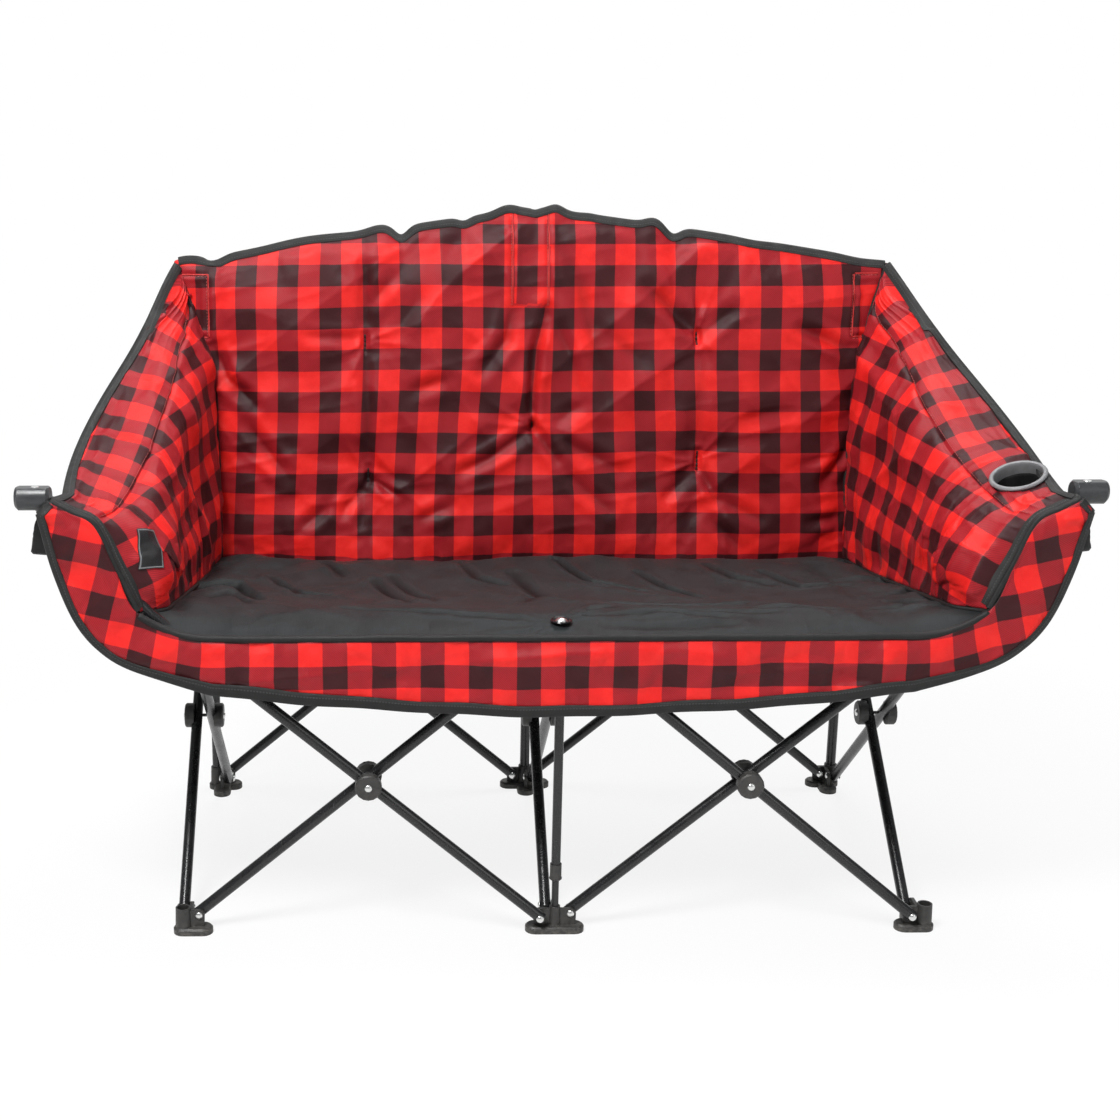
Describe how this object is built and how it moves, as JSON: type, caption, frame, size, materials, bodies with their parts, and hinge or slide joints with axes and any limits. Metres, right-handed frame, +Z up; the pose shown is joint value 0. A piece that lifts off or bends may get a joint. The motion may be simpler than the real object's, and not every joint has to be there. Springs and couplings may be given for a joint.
{
  "type": "folding camping loveseat",
  "caption": "Padded double camp chair on a folding scissor frame, with a tall quilted back, sling arms and a cup holder in the right arm.",
  "frame": {"origin": "on the floor, under the middle of the open chair's bounding box", "axes": "+X to the right of someone facing the chair, along the seat; the chair faces -Y; +Z up"},
  "size_m": [1.44, 0.591, 0.9662],
  "materials": {
    "tube_black": "gloss black powder coat on steel tube",
    "joint_plastic": "dark grey moulded nylon with zinc rivets",
    "check_cloth": "woven polyester in a red and black check, quilted, black binding",
    "seat_cloth": "charcoal woven polyester, padded, lightly creased",
    "black_cloth": "black woven polyester",
    "grey_plastic": "grey moulded plastic ring",
    "button_plastic": "dark domed press button in a rimmed seat"
  },
  "bodies": {
    "rear_centre_base": {"rear_centre_foot": "joint_plastic", "rear_centre_post": "tube_black", "back_panel": "check_cloth"},
    "rear_left_inner_link": {"rear_left_tube_centre_foot": "tube_black", "rear_left_hub_face": "joint_plastic"},
    "rear_left_outer_link": {"rear_left_tube_corner_foot": "tube_black", "rear_left_hub_back": "joint_plastic"},
    "rear_left_base": {"rear_left_foot": "joint_plastic", "rear_left_post": "tube_black", "arm_panel_left": "check_cloth"},
    "rear_left_slider": {"rear_left_slider": "joint_plastic"},
    "rear_centre_slider": {"rear_centre_slider": "joint_plastic"},
    "rear_right_inner_link": {"rear_right_tube_centre_foot": "tube_black", "rear_right_hub_back": "joint_plastic"},
    "rear_right_outer_link": {"rear_right_tube_corner_foot": "tube_black", "rear_right_hub_face": "joint_plastic"},
    "rear_right_base": {"rear_right_foot": "joint_plastic", "rear_right_post": "tube_black", "arm_panel_right": "check_cloth"},
    "rear_right_slider": {"rear_right_slider": "joint_plastic"},
    "left_side_rear_link": {"left_side_tube_rear_foot": "tube_black", "left_side_hub_right": "joint_plastic"},
    "left_side_front_link": {"left_side_tube_front_foot": "tube_black", "left_side_hub_left": "joint_plastic"},
    "right_side_rear_link": {"right_side_tube_rear_foot": "tube_black", "right_side_hub_right": "joint_plastic"},
    "right_side_front_link": {"right_side_tube_front_foot": "tube_black", "right_side_hub_left": "joint_plastic"},
    "centre_side_rear_link": {"centre_side_tube_rear_foot": "tube_black", "centre_side_hub_right": "joint_plastic"},
    "centre_side_front_link": {"centre_side_tube_front_foot": "tube_black", "centre_side_hub_left": "joint_plastic"},
    "front_left_base": {"front_left_foot": "joint_plastic"},
    "front_right_base": {"front_right_foot": "joint_plastic"},
    "front_centre_base": {"front_centre_foot": "joint_plastic", "front_post_rod": "tube_black"},
    "front_left_inner_link": {"front_left_tube_centre_foot": "tube_black", "front_left_hub_face": "joint_plastic", "left_arm_end": "joint_plastic", "arm_pocket_left": "black_cloth"},
    "front_left_outer_link": {"front_left_tube_corner_foot": "tube_black", "front_left_hub_back": "joint_plastic"},
    "front_right_inner_link": {"front_right_tube_centre_foot": "tube_black", "front_right_hub_back": "joint_plastic", "right_arm_end": "joint_plastic", "arm_pocket_right": "black_cloth"},
    "front_right_outer_link": {"front_right_tube_corner_foot": "tube_black", "front_right_hub_face": "joint_plastic"},
    "front_left_joint": {"front_left_top_joint": "joint_plastic"},
    "front_right_joint": {"front_right_top_joint": "joint_plastic", "cup_ring": "grey_plastic", "cup_sleeve": "black_cloth"},
    "front_centre_joint": {"front_centre_top_joint": "joint_plastic", "front_post_sleeve": "tube_black", "front_post_collar": "joint_plastic", "seat_panel": "seat_cloth", "seat_button": "button_plastic", "front_band_left": "check_cloth", "front_band_middle": "check_cloth", "front_band_right": "check_cloth"}
  },
  "joints": [
    {"name": "fold", "type": "hinge", "parent": "rear_centre_base", "child": "centre_side_rear_link", "pos_m": [0, 0.239, 0.026], "axis": [-1, 0, 0], "range_deg": [0, 44.4], "deforming": ["seat_panel", "back_panel", "arm_panel_left", "arm_panel_right", "front_band_left", "front_band_middle", "front_band_right"]},
    {"name": "centre_side_cross", "type": "hinge", "parent": "centre_side_rear_link", "child": "centre_side_front_link", "pos_m": [0, 0, 0.227], "axis": [1, 0, 0], "range_deg": [0, 88.8]},
    {"name": "front_centre_foot_pin", "type": "hinge", "parent": "centre_side_front_link", "child": "front_centre_base", "pos_m": [0, -0.239, 0.026], "axis": [-1, 0, 0], "range_deg": [0, 44.4]},
    {"name": "rear_left_inner_pin", "type": "hinge", "parent": "rear_centre_base", "child": "rear_left_inner_link", "pos_m": [-0.022, 0.264, 0.026], "axis": [0, 1, 0], "range_deg": [0, 44.4]},
    {"name": "rear_left_cross", "type": "hinge", "parent": "rear_left_inner_link", "child": "rear_left_outer_link", "pos_m": [-0.261, 0.264, 0.227], "axis": [0, -1, 0], "range_deg": [0, 88.8]},
    {"name": "rear_left_foot_pin", "type": "hinge", "parent": "rear_left_outer_link", "child": "rear_left_base", "pos_m": [-0.5, 0.264, 0.026], "axis": [0, 1, 0], "range_deg": [0, 44.4]},
    {"name": "rear_left_slider_pin", "type": "hinge", "parent": "rear_left_inner_link", "child": "rear_left_slider", "pos_m": [-0.5, 0.264, 0.428], "axis": [0, -1, 0], "range_deg": [0, 44.4]},
    {"name": "rear_centre_slider_pin", "type": "hinge", "parent": "rear_left_outer_link", "child": "rear_centre_slider", "pos_m": [-0.022, 0.264, 0.428], "axis": [0, 1, 0], "range_deg": [0, 44.4]},
    {"name": "rear_right_inner_pin", "type": "hinge", "parent": "rear_centre_base", "child": "rear_right_inner_link", "pos_m": [0.022, 0.264, 0.026], "axis": [0, -1, 0], "range_deg": [0, 44.4]},
    {"name": "rear_right_cross", "type": "hinge", "parent": "rear_right_inner_link", "child": "rear_right_outer_link", "pos_m": [0.261, 0.264, 0.227], "axis": [0, 1, 0], "range_deg": [0, 88.8]},
    {"name": "rear_right_foot_pin", "type": "hinge", "parent": "rear_right_outer_link", "child": "rear_right_base", "pos_m": [0.5, 0.264, 0.026], "axis": [0, -1, 0], "range_deg": [0, 44.4]},
    {"name": "rear_right_slider_pin", "type": "hinge", "parent": "rear_right_inner_link", "child": "rear_right_slider", "pos_m": [0.5, 0.264, 0.428], "axis": [0, 1, 0], "range_deg": [0, 44.4]},
    {"name": "left_side_rear_pin", "type": "hinge", "parent": "rear_left_base", "child": "left_side_rear_link", "pos_m": [-0.512, 0.239, 0.026], "axis": [-1, 0, 0], "range_deg": [0, 44.4]},
    {"name": "left_side_cross", "type": "hinge", "parent": "left_side_rear_link", "child": "left_side_front_link", "pos_m": [-0.512, 0, 0.227], "axis": [1, 0, 0], "range_deg": [0, 88.8]},
    {"name": "front_left_foot_pin", "type": "hinge", "parent": "left_side_front_link", "child": "front_left_base", "pos_m": [-0.512, -0.239, 0.026], "axis": [-1, 0, 0], "range_deg": [0, 44.4]},
    {"name": "right_side_rear_pin", "type": "hinge", "parent": "rear_right_base", "child": "right_side_rear_link", "pos_m": [0.512, 0.239, 0.026], "axis": [-1, 0, 0], "range_deg": [0, 44.4]},
    {"name": "right_side_cross", "type": "hinge", "parent": "right_side_rear_link", "child": "right_side_front_link", "pos_m": [0.512, 0, 0.227], "axis": [1, 0, 0], "range_deg": [0, 88.8]},
    {"name": "front_right_foot_pin", "type": "hinge", "parent": "right_side_front_link", "child": "front_right_base", "pos_m": [0.512, -0.239, 0.026], "axis": [-1, 0, 0], "range_deg": [0, 44.4]},
    {"name": "front_left_inner_pin", "type": "hinge", "parent": "front_centre_base", "child": "front_left_inner_link", "pos_m": [-0.022, -0.264, 0.026], "axis": [0, 1, 0], "range_deg": [0, 44.4]},
    {"name": "front_left_cross", "type": "hinge", "parent": "front_left_inner_link", "child": "front_left_outer_link", "pos_m": [-0.261, -0.264, 0.227], "axis": [0, -1, 0], "range_deg": [0, 88.8]},
    {"name": "front_left_joint_pin", "type": "hinge", "parent": "front_left_inner_link", "child": "front_left_joint", "pos_m": [-0.5, -0.264, 0.428], "axis": [0, -1, 0], "range_deg": [0, 44.4]},
    {"name": "front_right_inner_pin", "type": "hinge", "parent": "front_centre_base", "child": "front_right_inner_link", "pos_m": [0.022, -0.264, 0.026], "axis": [0, -1, 0], "range_deg": [0, 44.4]},
    {"name": "front_right_cross", "type": "hinge", "parent": "front_right_inner_link", "child": "front_right_outer_link", "pos_m": [0.261, -0.264, 0.227], "axis": [0, 1, 0], "range_deg": [0, 88.8]},
    {"name": "front_right_joint_pin", "type": "hinge", "parent": "front_right_inner_link", "child": "front_right_joint", "pos_m": [0.5, -0.264, 0.428], "axis": [0, 1, 0], "range_deg": [0, 44.4]},
    {"name": "front_centre_joint_pin", "type": "hinge", "parent": "front_left_outer_link", "child": "front_centre_joint", "pos_m": [-0.022, -0.264, 0.428], "axis": [0, 1, 0], "range_deg": [0, 44.4]}
  ],
  "couplings": [
    {"joint": "centre_side_cross", "follows": "fold", "ratio": 2},
    {"joint": "front_centre_foot_pin", "follows": "fold", "ratio": 1},
    {"joint": "rear_left_inner_pin", "follows": "fold", "ratio": 1},
    {"joint": "rear_left_cross", "follows": "fold", "ratio": 2},
    {"joint": "rear_left_foot_pin", "follows": "fold", "ratio": 1},
    {"joint": "rear_left_slider_pin", "follows": "fold", "ratio": 1},
    {"joint": "rear_centre_slider_pin", "follows": "fold", "ratio": 1},
    {"joint": "rear_right_inner_pin", "follows": "fold", "ratio": 1},
    {"joint": "rear_right_cross", "follows": "fold", "ratio": 2},
    {"joint": "rear_right_foot_pin", "follows": "fold", "ratio": 1},
    {"joint": "rear_right_slider_pin", "follows": "fold", "ratio": 1},
    {"joint": "left_side_rear_pin", "follows": "fold", "ratio": 1},
    {"joint": "left_side_cross", "follows": "fold", "ratio": 2},
    {"joint": "front_left_foot_pin", "follows": "fold", "ratio": 1},
    {"joint": "right_side_rear_pin", "follows": "fold", "ratio": 1},
    {"joint": "right_side_cross", "follows": "fold", "ratio": 2},
    {"joint": "front_right_foot_pin", "follows": "fold", "ratio": 1},
    {"joint": "front_left_inner_pin", "follows": "fold", "ratio": 1},
    {"joint": "front_left_cross", "follows": "fold", "ratio": 2},
    {"joint": "front_left_joint_pin", "follows": "fold", "ratio": 1},
    {"joint": "front_right_inner_pin", "follows": "fold", "ratio": 1},
    {"joint": "front_right_cross", "follows": "fold", "ratio": 2},
    {"joint": "front_right_joint_pin", "follows": "fold", "ratio": 1},
    {"joint": "front_centre_joint_pin", "follows": "fold", "ratio": 1}
  ]
}
